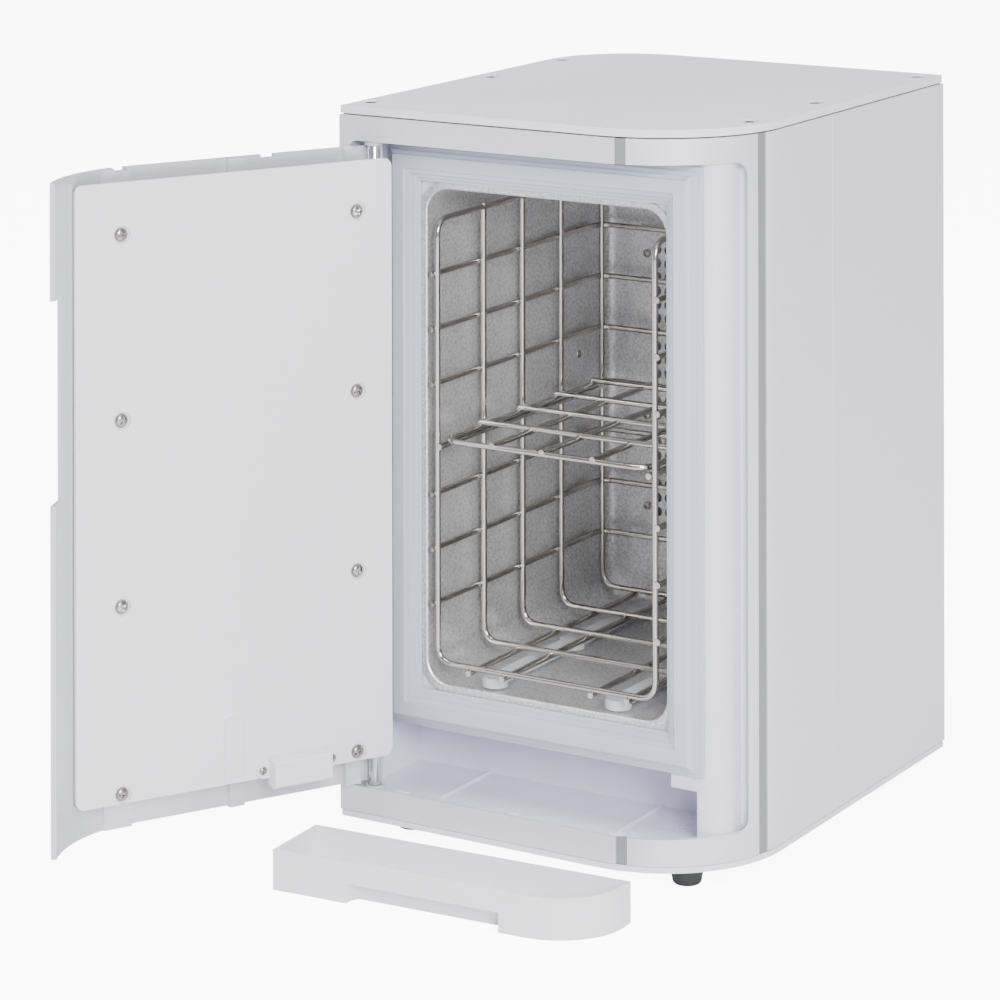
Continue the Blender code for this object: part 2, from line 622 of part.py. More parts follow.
def build_tray(root, mats):
    base = (TRAY_AT[0], TRAY_AT[1], -FOOT_H)
    hub = pivot("drip_tray_origin", base, root, TRAY_TURN)
    on = {"parent": hub}
    tray = prism("drip_tray", tray_outline(0), 0, TRAY_H, mats["tray"], **on)
    space = prism("tray_space", tray_outline(1.8), 2.0, TRAY_H + 5, None, **on)
    cut(space, box("tray_handle", 38.0, 122.0, -5, 9.0, -5, 11.0, None, **on))
    cut(tray, space,
        prism("tray_grip", [(40.0, -5.0), (120.0, -5.0), (120.0, 4.0), (118.0, 8.0),
                            (42.0, 8.0), (40.0, 4.0)], -5, 9.2, None, **on))
    join(tray, box("tray_lip", 47.0, 124.0, 0.4, 1.6, TRAY_H - 2, TRAY_H + 0.9, None, **on))


# ---- basket and shelf ----------------------------------------------------------------------
BASKET_AT = (102.3, 25.5, 62.5)
SHELF_AT = (102.3, 24.0, SHELF_Z)


def build_basket(root, mats):
    hub = pivot("basket_origin", BASKET_AT, root)
    on = {"parent": hub, "at": BASKET_AT}
    x0, x1 = HOOP_X0, HOOP_X1
    bend = 8.0
    foot = HOOP_Z + bend

    wires = []
    for y in HOOP_Y:
        left = [(x0 + bend - bend * math.sin(math.radians(t)), y,
                 foot - bend * math.cos(math.radians(t))) for t in (90, 60, 30, 0)]
        right = [(x0 + x1 - p[0], y, p[2]) for p in reversed(left)]
        wires.append(([(x0, y, foot + 1)] + left + right + [(x1, y, foot + 1)], False))
    for x in (60.0, 79.0, 129.0, 149.0):
        wires.append(([(x, HOOP_Y[0] - 2.5, HOOP_Z - WELD),
                       (x, HOOP_Y[-1] + 2.5, HOOP_Z - WELD)], False))
    # the run below the hoops comes first, so that every weld meets it
    wires = wires[-4:] + wires[:-4]
    welded("basket_floor", wires, mats["wire"], **on)

    top = ROW_Z[-1] + 2.0
    low = foot + 1 + GAP
    y_end = HOOP_Y[-1] - WIRE / 2 - GAP
    for name, x, out in (("basket_left", x0, -1), ("basket_right", x1, 1)):
        wires = [([(x, y, low), (x, y, top)], False) for y in HOOP_Y[:-1]]
        for z in ROW_Z:
            wires.append(([(x + out * WELD, HOOP_Y[0] - 3, z), (x + out * WELD, y_end, z)],
                          False))
        wires.append(([(x - out * WELD, HOOP_Y[0] - 2.5, RAIL_Z), (x - out * WELD, y_end, RAIL_Z)],
                      False))
        welded(name, wires, mats["wire"], **on)
    y = HOOP_Y[-1]
    wires = [([(x, y, low), (x, y, top)], False) for x in (x0, 82.0, 122.6, x1)]
    for z in ROW_Z:
        wires.append(([(x0 - 0.4, y + WELD, z), (x1 + 0.4, y + WELD, z)], False))
    welded("basket_back", wires, mats["wire"], **on)

    for name, x in (("basket_runner_left", 69.5), ("basket_runner_right", 139.0)):
        bar = box(name, x - 3.5, x + 3.5, 30.0, 184.0, 66.6, 71.0, mats["runner"], **on)
        for k, y in enumerate((33.0, 108.0, 181.0)):
            join(bar, turned(f"{name}_foot_{k}", [(5.0, 65.3), (6.5, 66.3), (6.5, 70.9)],
                             (x, y, 0), None, sides=10, **on))

    shelf_hub = pivot("shelf_origin", tuple(a - b for a, b in zip(SHELF_AT, BASKET_AT)), hub)
    on = {"parent": shelf_hub, "at": SHELF_AT}
    r = 8.0
    rim = [(x, y, SHELF_Z) for x, y in rounded(45.2, 159.4, 24.0, 185.0, r, 3)]
    wires = [(rim, True)]
    for x in (74.0, 102.3, 130.6):
        wires.append(([(x, 24.0, SHELF_Z), (x, 185.0, SHELF_Z)], False))
    for y in (59.0, 97.0, 133.5, 171.0):
        wires.append(([(43.8, y, SHELF_Z + WELD), (160.8, y, SHELF_Z + WELD)], False))
    welded("basket_shelf", wires, mats["wire"], **on)


# ---- assembly ------------------------------------------------------------------------------
def all_materials():
    return {
        "top": material("top_white", (0.74, 0.74, 0.80), 0.0, 0.45),
        "base": material("base_white", (0.74, 0.74, 0.80), 0.0, 0.5),
        "panel": material("case_aluminium", (0.80, 0.80, 0.82), 0.6, 0.45),
        "frame": material("frame_aluminium", (0.80, 0.80, 0.81), 0.6, 0.4),
        "strip": material("joint_strip", (0.38, 0.38, 0.43), 0.3, 0.4),
        "liner": material("liner_plastic", (0.74, 0.73, 0.84), 0.0, 0.35),
        "gasket": material("gasket_silicone", (0.58, 0.63, 0.66), 0.0, 0.5),
        "chamber": material("chamber_aluminium", (0.62, 0.62, 0.62), 1.0, 0.4),
        "guard": material("guard_aluminium", (0.62, 0.62, 0.62), 1.0, 0.4),
        "foam_white": material("insulation_foam", (0.86, 0.85, 0.80), 0.0, 0.9),
        "foam_black": material("door_foam_black", (0.02, 0.02, 0.02), 0.0, 0.9),
        "heater": material("heater_silicone", (0.35, 0.10, 0.06), 0.0, 0.6),
        "lamp": material("lamp_glass", (0.85, 0.85, 0.95), 0.0, 0.1),
        "socket": material("hinge_and_lamp_plastic", (0.62, 0.62, 0.64), 0.0, 0.4),
        "dark_plastic": material("black_plastic", (0.03, 0.03, 0.03), 0.0, 0.4),
        "rocker": material("rocker_plastic", (0.04, 0.04, 0.04), 0.0, 0.3),
        "shell": material("door_aluminium", (0.60, 0.60, 0.64), 0.6, 0.4),
        "white": material("white_plastic", (0.78, 0.78, 0.82), 0.0, 0.35),
        "tray": material("tray_plastic", (0.85, 0.83, 0.86), 0.0, 0.4),
        "chrome": material("hinge_chrome", (0.80, 0.80, 0.80), 1.0, 0.1),
        "screw": material("screw_steel", (0.60, 0.58, 0.56), 1.0, 0.25),
        "foot": material("foot_rubber", (0.02, 0.02, 0.02), 0.0, 0.7),
        "wire": material("wire_steel", (0.70, 0.69, 0.67), 1.0, 0.2),
        "runner": material("runner_plastic", (0.85, 0.86, 0.88), 0.0, 0.3),
    }


def centre_on_floor(root):
    """Move everything so the whole stands on z = 0 with its middle over the origin."""
    bpy.context.view_layer.update()
    low = Vector((1e9, 1e9, 1e9))
    high = -low
    for obj in bpy.data.objects:
        if obj.type != "MESH" or obj.hide_render:
            continue
        for vertex in obj.data.vertices:
            p = obj.matrix_world @ vertex.co
            low = Vector(map(min, low, p))
            high = Vector(map(max, high, p))
    root.location = (-(low.x + high.x) / 2, -(low.y + high.y) / 2, -low.z)
    print("low", [round(c / MM, 3) for c in low], "high", [round(c / MM, 3) for c in high])
    print("shift", [round(c / MM, 4) for c in root.location])


def main():
    clear_scene()
    mats = all_materials()
    root = pivot("cabinet_origin", (0, 0, 0), None)
    build_case(root, mats)
    build_liner(root, mats)
    build_lamp(root, mats)
    build_rocker(root, mats)
    build_door(root, mats)
    build_tray(root, mats)
    build_basket(root, mats)
    centre_on_floor(root)


main()
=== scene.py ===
"""Looks of the countertop UV sterilizer cabinet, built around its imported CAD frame."""
import math

import bmesh
import bpy
from mathutils import Matrix, Vector


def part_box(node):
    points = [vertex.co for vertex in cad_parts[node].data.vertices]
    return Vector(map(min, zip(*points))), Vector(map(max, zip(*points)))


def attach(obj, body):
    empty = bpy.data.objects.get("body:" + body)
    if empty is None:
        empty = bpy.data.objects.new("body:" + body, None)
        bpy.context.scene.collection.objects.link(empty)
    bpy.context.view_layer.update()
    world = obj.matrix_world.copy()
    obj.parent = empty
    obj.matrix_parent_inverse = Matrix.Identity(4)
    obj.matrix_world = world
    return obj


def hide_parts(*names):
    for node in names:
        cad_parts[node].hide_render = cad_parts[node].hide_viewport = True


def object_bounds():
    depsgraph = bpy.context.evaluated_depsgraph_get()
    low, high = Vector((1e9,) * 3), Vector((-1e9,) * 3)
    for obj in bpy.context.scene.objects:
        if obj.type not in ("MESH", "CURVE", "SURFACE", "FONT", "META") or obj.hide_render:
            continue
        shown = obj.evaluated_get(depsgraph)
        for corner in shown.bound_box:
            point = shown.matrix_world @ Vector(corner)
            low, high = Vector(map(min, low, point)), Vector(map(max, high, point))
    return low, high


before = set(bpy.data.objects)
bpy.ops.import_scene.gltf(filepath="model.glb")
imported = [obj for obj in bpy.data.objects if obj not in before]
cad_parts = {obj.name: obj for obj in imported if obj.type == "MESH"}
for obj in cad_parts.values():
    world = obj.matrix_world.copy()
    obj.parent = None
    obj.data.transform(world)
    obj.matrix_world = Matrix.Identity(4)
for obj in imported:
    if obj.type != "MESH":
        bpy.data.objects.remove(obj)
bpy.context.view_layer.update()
MM = 0.001
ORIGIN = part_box("base_plate")[0]     # lower front left corner of the case

# ---- sizes in millimetres, from the lower front left corner of the case; x right, y back, z up
CASE_W, CASE_D, CASE_H = 210.0, 253.0, 350.0
R_FRONT, R_BACK = 65.0, 50.0
PLATE_TOP, PLATE_BASE = 3.7, 3.0
SKIN, FRAME_T, GAP = 1.6, 2.5, 0.3
OPEN_X0, OPEN_X1, OPEN_Z0, OPEN_Z1 = 5.8, 205.3, 16.0, 333.3
SEAM_X0, SEAM_X1 = 155.8, 160.6
FACE_Y, RECESS_Y, FLOOR_Z, CEIL_Z, LINER_T = 25.3, 64.0, 11.0, 43.0, 2.0
CH_X0, CH_X1, CH_Z0, CH_Z1 = 35.8, 170.3, 65.0, 309.0
CH_Y0, CH_Y1, CH_R, CH_T = 24.0, 203.0, 12.0, 1.0
HINGE = (16.6, 6.0)
DOOR_OPEN = 118.4
DOOR_Z0, DOOR_Z1, DOOR_X0, DOOR_T = 18.0, 330.5, 10.0, 2.6
DOOR_ARC, GRIP_ARC = 57.0, 45.5
PANEL_X0, PANEL_X1, PANEL_Z0, PANEL_Z1 = 12.6, 180.9, 33.2, 325.6
PANEL_Y0, PANEL_Y1 = 14.5, 16.7
WIRE, WELD = 3.0, 2.4
HOOP_X0, HOOP_X1, HOOP_Z = 41.0, 163.6, 75.2
HOOP_Y = (25.5, 69.0, 107.0, 146.0, 189.0)
ROW_Z = (103.7, 130.8, 157.9, 212.1, 239.2, 266.3, 293.4)
RAIL_Z, SHELF_Z = 182.0, 185.3
TRAY_W, TRAY_D, TRAY_H = 168.0, 39.5, 19.0
TRAY_AT, TRAY_TURN, FOOT_H = (19.9, -86.9), 3.4, 7.0
TOP_SCREWS = ((6.9, 18.0), (9.4, 127.8), (6.9, 205.3), (198.9, 55.1), (197.7, 127.9),
              (200.1, 240.2))
PANEL_SCREWS = [(x, z) for x in (31.4, 157.0) for z in (37.3, 125.6, 213.3, 300.9)]

# ---- stage: watts of the three lamps, and the ground's and surround's own brightness
KEY_W, TOP_W, LEFT_W = 150, 80, 3
AMBIENT, SEEN_SURROUND, SEEN_FLOOR = 0.5, 26.0, 9.0


# ---- places --------------------------------------------------------------------------------
def on_case(x, y, z):
    return ORIGIN + Vector((x, y, z)) * MM


def turned_about(x, y, z, centre, degrees):
    t = math.radians(degrees)
    dx, dy = x - centre[0], y - centre[1]
    return on_case(centre[0] + dx * math.cos(t) - dy * math.sin(t),
                   centre[1] + dx * math.sin(t) + dy * math.cos(t), z)


def on_door(x, y, z):
    """Place of a point of the closed door once it stands open."""
    return turned_about(x, y, z, HINGE, -DOOR_OPEN)


def on_tray(x, y, z):
    return turned_about(x + TRAY_AT[0], y + TRAY_AT[1], z - FOOT_H, TRAY_AT, TRAY_TURN)


# ---- mesh helpers --------------------------------------------------------------------------
def make(name, verts, faces, where=on_case):
    mesh = bpy.data.meshes.new(name)
    mesh.from_pydata([where(*v) for v in verts], [], faces)
    bm = bmesh.new()
    bm.from_mesh(mesh)
    bmesh.ops.recalc_face_normals(bm, faces=bm.faces)
    bm.to_mesh(mesh)
    bm.free()
    obj = bpy.data.objects.new(name, mesh)
    bpy.context.scene.collection.objects.link(obj)
    return obj


def place(axis, a, b, c):
    if axis == "Z":
        return (a, b, c)
    if axis == "Y":
        return (a, c, b)
    return (c, a, b)


def prism(name, outline, d0, d1, axis="Z", where=on_case):
    n = len(outline)
    verts = [place(axis, a, b, d) for d in (d0, d1) for a, b in outline]
    faces = [tuple(range(n)), tuple(range(n, 2 * n))]
    faces += [(i, (i + 1) % n, n + (i + 1) % n, n + i) for i in range(n)]
    return make(name, verts, faces, where)


def box(name, x0, x1, y0, y1, z0, z1, where=on_case):
    return prism(name, [(x0, y0), (x1, y0), (x1, y1), (x0, y1)], z0, z1, where=where)


def loft(name, loops, where=on_case, closed=False):
    """Body through equal loops; a closed one joins its last loop to its first."""
    n, m = len(loops[0]), len(loops)
    verts = [p for loop in loops for p in loop]
    faces = [] if closed else [tuple(range(n)), tuple(range((m - 1) * n, m * n))]
    for k in range(m if closed else m - 1):
        a, b = k * n, ((k + 1) % m) * n
        faces += [(a + i, a + (i + 1) % n, b + (i + 1) % n, b + i) for i in range(n)]
    return make(name, verts, faces, where)


def turned(name, profile, centre, axis="Z", sides=32, where=on_case):
    """Body of revolution; profile is (radius, height) from one end to the other."""
    loops = []
    for r, h in profile:
        ring = [(r * math.cos(t), r * math.sin(t))
                for t in (2 * math.pi * k / sides for k in range(sides))]
        loops.append([tuple(p + c for p, c in zip(place(axis, a, b, h), centre)) for a, b in ring])
    return loft(name, loops, where)


def arc(cx, cy, r, a0, a1, steps):
    angles = [math.radians(a0 + (a1 - a0) * k / steps) for k in range(steps + 1)]
    return [(cx + r * math.cos(t), cy + r * math.sin(t)) for t in angles]


def rounded(x0, x1, z0, z1, r, steps=8):
    pts = arc(x1 - r, z1 - r, r, 0, 90, steps) + arc(x0 + r, z1 - r, r, 90, 180, steps)
    return pts + arc(x0 + r, z0 + r, r, 180, 270, steps) + arc(x1 - r, z0 + r, r, 270, 360, steps)


def corner_arc(inset, wrap0, wrap1, steps=32):
    return arc(CASE_W - R_FRONT, R_FRONT, R_FRONT - inset, -90 + wrap0, -90 + wrap1, steps)


def wrap_at_x(x):
    return math.degrees(math.asin((x - (CASE_W - R_FRONT)) / R_FRONT))


def wrap_at_y(y, inset=0.0):
    return math.degrees(math.acos((R_FRONT - y) / (R_FRONT - inset)))


def sheet(name, outer, inner, z0, z1, where=on_case):
    return prism(name, list(outer) + list(reversed(inner)), z0, z1, where=where)


def tube_mesh(path, radius, sides, closed):
    pts = [Vector(p) for p in path]
    n = len(pts)
    verts = []
    side = None
    for i, p in enumerate(pts):
        before = pts[i - 1] if (i or closed) else None
        after = pts[(i + 1) % n] if (i < n - 1 or closed) else None
        d0 = (p - before).normalized() if before is not None else (after - p).normalized()
        d1 = (after - p).normalized() if after is not None else d0
        along = (d0 + d1).normalized()
        if side is None:
            guess = Vector((0, 0, 1)) if abs(along.z) < 0.7 else Vector((0, 1, 0))
            side = guess.cross(along)
        side = (side - along * side.dot(along)).normalized()
        up = along.cross(side)
        for k in range(sides):
            t = 2 * math.pi * k / sides
            verts.append(tuple(p + (side * math.cos(t) + up * math.sin(t)) * radius))
    faces = []
    for k in range(n if closed else n - 1):
        a, b = k * sides, ((k + 1) % n) * sides
        faces += [(a + i, a + (i + 1) % sides, b + (i + 1) % sides, b + i) for i in range(sides)]
    if not closed:
        faces += [tuple(range(sides)), tuple(range((n - 1) * sides, n * sides))]
    return verts, faces


def wires(name, paths, radius=WIRE / 2, sides=12, where=on_case):
    """Several wires in one mesh; each path is (points, closed)."""
    verts, faces = [], []
    for path, closed in paths:
        more, quads = tube_mesh(path, radius, sides, closed)
        start = len(verts)
        verts += more
        faces += [tuple(start + i for i in face) for face in quads]
    return make(name, verts, faces, where)


def bend(points, radius, steps=6):
    """Polyline with its inner corners rounded."""
    pts = [Vector(p) for p in points]
    out = [tuple(pts[0])]
    for a, b, c in zip(pts, pts[1:], pts[2:]):
        u, v = (a - b).normalized(), (c - b).normalized()
        r = min(radius, (a - b).length * 0.49, (c - b).length * 0.49)
        start, end = b + u * r, b + v * r
        for k in range(steps + 1):
            t = k / steps
            out.append(tuple(start * (1 - t) ** 2 + b * 2 * t * (1 - t) + end * t * t))
    out.append(tuple(pts[-1]))
    return out


def bake(obj):
    depsgraph = bpy.context.evaluated_depsgraph_get()
    mesh = bpy.data.meshes.new_from_object(obj.evaluated_get(depsgraph))
    obj.modifiers.clear()
    obj.data = mesh


def combine(obj, others, how="DIFFERENCE"):
    for other in others:
        mod = obj.modifiers.new("combine", "BOOLEAN")
        mod.operation = how
        mod.solver = "EXACT"
        mod.object = other
    bake(obj)
    for other in others:
        bpy.data.objects.remove(other, do_unlink=True)
    return obj


def soften(obj, width, segments=2, angle=35.0):
    """Rounded edges and smooth shading across shallow angles."""
    mesh = obj.data
    mesh.polygons.foreach_set("use_smooth", [True] * len(mesh.polygons))
    mesh.set_sharp_from_angle(angle=math.radians(angle))
    if width:
        mod = obj.modifiers.new("edges", "BEVEL")
        mod.width = width * MM
        mod.segments = segments
        mod.limit_method = "ANGLE"
        mod.angle_limit = math.radians(angle)
        mod.harden_normals = True
    return obj


def piece(obj, body, mat, slot, *nodes, edge=0.4, segments=2, angle=35.0):
    obj.data.materials.clear()
    obj.data.materials.append(mat)
    soften(obj, edge, segments, angle)
    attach(obj, body)
    if nodes:
        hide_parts(*nodes)
    return obj


# ---- materials -----------------------------------------------------------------------------
def surface(name, color, roughness, metallic=0.0, grain=900.0, bump=0.05, depth=0.1, tint=0.03,
            cloud=9.0, uneven=0.08, stretch=(1, 1, 1), settings=()):
    """Principled surface with cloudy colour and sheen, and a fine bump of `depth` millimetres."""
    mat = bpy.data.materials.new(name)
    mat.use_nodes = True
    nodes, links = mat.node_tree.nodes, mat.node_tree.links
    bsdf = nodes["Principled BSDF"]
    coords = nodes.new("ShaderNodeTexCoord")
    mapping = nodes.new("ShaderNodeMapping")
    mapping.inputs["Scale"].default_value = stretch
    links.new(coords.outputs["Object"], mapping.inputs["Vector"])

    def noise(scale, detail):
        node = nodes.new("ShaderNodeTexNoise")
        node.inputs["Scale"].default_value = scale
        node.inputs["Detail"].default_value = detail
        node.inputs["Roughness"].default_value = 0.6
        links.new(mapping.outputs["Vector"], node.inputs["Vector"])
        return node

    def ranged(source, low, high):
        node = nodes.new("ShaderNodeMapRange")
        node.inputs["From Min"].default_value = 0.3
        node.inputs["From Max"].default_value = 0.7
        node.inputs["To Min"].default_value = low
        node.inputs["To Max"].default_value = high
        links.new(source.outputs["Fac"], node.inputs["Value"])
        return node

    clouds = noise(cloud, 4.0)
    fine = noise(grain, 3.0)
    mix = nodes.new("ShaderNodeMix")
    mix.data_type = "RGBA"
    mix.inputs["A"].default_value = (*[c * (1 - tint) for c in color], 1)
    mix.inputs["B"].default_value = (*[min(1.0, c * (1 + tint)) for c in color], 1)
    links.new(ranged(clouds, 0.0, 1.0).outputs["Result"], mix.inputs["Factor"])
    links.new(mix.outputs["Result"], bsdf.inputs["Base Color"])
    rough = nodes.new("ShaderNodeMath")
    rough.operation = "ADD"
    links.new(ranged(clouds, roughness * (1 - uneven), roughness * (1 + uneven)).outputs["Result"],
              rough.inputs[0])
    links.new(ranged(fine, -0.02, 0.02).outputs["Result"], rough.inputs[1])
    links.new(rough.outputs["Value"], bsdf.inputs["Roughness"])
    relief = nodes.new("ShaderNodeBump")
    relief.inputs["Strength"].default_value = bump
    relief.inputs["Distance"].default_value = depth * MM
    links.new(fine.outputs["Fac"], relief.inputs["Height"])
    links.new(relief.outputs["Normal"], bsdf.inputs["Normal"])
    bsdf.inputs["Metallic"].default_value = metallic
    for key, value in settings:
        bsdf.inputs[key].default_value = value
    return mat


def grained_metal():
    """Rolled aluminium with an orange-peel grain and bright and dark flecks."""
    mat = surface("grained_aluminium", (0.80, 0.80, 0.81), 0.42, metallic=0.75, grain=420.0,
                  bump=0.55, depth=0.35, tint=0.06, cloud=14.0, uneven=0.15)
    nodes, links = mat.node_tree.nodes, mat.node_tree.links
    bsdf = nodes["Principled BSDF"]
    coords = next(n for n in nodes if n.type == "TEX_COORD")
    flecks = nodes.new("ShaderNodeTexVoronoi")
    flecks.inputs["Scale"].default_value = 700.0
    links.new(coords.outputs["Object"], flecks.inputs["Vector"])
    shade = nodes.new("ShaderNodeMapRange")
    shade.inputs["From Max"].default_value = 0.8
    shade.inputs["To Min"].default_value = 1.12
    shade.inputs["To Max"].default_value = 0.72
    links.new(flecks.outputs["Distance"], shade.inputs["Value"])
    mix = next(n for n in nodes if n.type == "MIX")
    scale = nodes.new("ShaderNodeVectorMath")
    scale.operation = "SCALE"
    links.new(mix.outputs["Result"], scale.inputs[0])
    links.new(shade.outputs["Result"], scale.inputs["Scale"])
    links.new(scale.outputs["Vector"], bsdf.inputs["Base Color"])
    return mat


def all_materials():
    clear = (("Transmission Weight", 0.45), ("IOR", 1.45))
    return {
        "plate": surface("plate_white", (0.80, 0.80, 0.86), 0.28, grain=1500, bump=0.04, cloud=6),
        "panel": surface("panel_paint", (0.78, 0.78, 0.82), 0.42, metallic=0.25, grain=2200,
                         bump=0.12, depth=0.06, tint=0.015, cloud=4, stretch=(1, 1, 0.2)),
        "frame": surface("frame_paint", (0.76, 0.76, 0.80), 0.38, metallic=0.35, grain=2200,
                         bump=0.12, depth=0.06, tint=0.015, cloud=5, stretch=(1, 1, 0.3)),
        "strip": surface("joint_grey", (0.26, 0.26, 0.29), 0.4, metallic=0.3, grain=1200),
        "liner": surface("liner_plastic", (0.76, 0.75, 0.87), 0.26, grain=700, bump=0.05,
                         depth=0.12, tint=0.02, settings=(("Coat Weight", 0.15),)),
        "gasket": surface("gasket_silicone", (0.50, 0.54, 0.62), 0.45, grain=1600, bump=0.1,
                          depth=0.05, settings=(("Subsurface Weight", 0.1),
                                                ("Subsurface Scale", 0.002))),
        "chamber": grained_metal(),
        "wire": surface("polished_wire", (0.52, 0.49, 0.46), 0.16, metallic=1.0, grain=1500,
                        bump=0.08, depth=0.05, tint=0.08, cloud=60, uneven=0.3),
        "chrome": surface("hinge_chrome", (0.80, 0.80, 0.81), 0.08, metallic=1.0, grain=2500,
                          bump=0.03, depth=0.03, uneven=0.3),
        "screw": surface("screw_zinc", (0.42, 0.40, 0.38), 0.22, metallic=1.0, grain=2600, bump=0.2,
                         depth=0.05, tint=0.12, cloud=300, uneven=0.3),
        "shell": surface("door_silver", (0.70, 0.70, 0.76), 0.38, metallic=0.45, grain=2200,
                         bump=0.12, depth=0.06, tint=0.02, cloud=5),
        "white": surface("formed_sheet", (0.80, 0.80, 0.83), 0.33, grain=260, bump=0.06, depth=0.25,
                         tint=0.02, cloud=7, uneven=0.15, settings=(("Coat Weight", 0.1),)),
        "foam": surface("black_foam", (0.015, 0.015, 0.017), 0.85, grain=1400, bump=0.6, depth=0.4),
        "tray": surface("tray_plastic", (0.84, 0.81, 0.85), 0.34, grain=900, bump=0.06, depth=0.1,
                        tint=0.01, settings=(("Subsurface Weight", 0.15),
                                             ("Subsurface Scale", 0.004))),
        "clip": surface("clear_clip", (0.86, 0.88, 0.90), 0.22, grain=700, bump=0.05,
                        settings=clear),
        "foot": surface("foot_rubber", (0.018, 0.018, 0.02), 0.6, grain=1300, bump=0.3, depth=0.2),
        "socket": surface("pale_plastic", (0.60, 0.60, 0.63), 0.4, grain=900),
        "black": surface("black_plastic", (0.025, 0.025, 0.027), 0.4, grain=800, bump=0.25,
                         depth=0.15),
        "heater": surface("heater_silicone", (0.35, 0.10, 0.06), 0.6, grain=500, bump=0.4,
                          depth=0.3),
        "wool": surface("insulation_foam", (0.86, 0.85, 0.80), 0.9, grain=900, bump=0.6, depth=0.5),
        "glass": surface("lamp_glass", (0.86, 0.87, 0.95), 0.08, grain=300, bump=0.01,
                         settings=(("Transmission Weight", 0.7), ("IOR", 1.46))),
    }


# ---- screws --------------------------------------------------------------------------------
def screw_mesh(name, radius, height):
    """Pan head with a cross recess, standing on z = 0."""
    def free(x, y, z):
        return Vector((x, y, z)) * MM

    profile = [(radius * 0.35, -height), (radius * 0.35, 0), (radius, 0), (radius, height * 0.1)]
    profile += [(radius * 0.88 * math.cos(t), height * (0.1 + 0.9 * math.sin(t)))
                for t in (math.radians(a) for a in (0, 25, 42, 56, 69, 80))]
    head = turned(name, profile, (0, 0, 0), where=free, sides=28)
    arm, slot = radius * 0.6, radius * 0.17
    low, high = height * 0.05, height * 2
    combine(head, [box("a", -arm, arm, -slot, slot, low, high, free),
                   box("b", -slot, slot, -arm, arm, low, high, free)])
    mesh = head.data
    bpy.data.objects.remove(head)
    return mesh


def add_screw(name, mesh, mat, body, place_at, normal, turn, *nodes):
    obj = bpy.data.objects.new(name, mesh)
    bpy.context.scene.collection.objects.link(obj)
    facing = Vector(normal).normalized().to_track_quat("Z", "Y").to_matrix().to_4x4()
    spin = Matrix.Rotation(math.radians(turn), 4, "Z")
    obj.matrix_world = Matrix.Translation(place_at) @ facing @ spin
    return piece(obj, body, mat, "screw_steel", *nodes, edge=0.0)


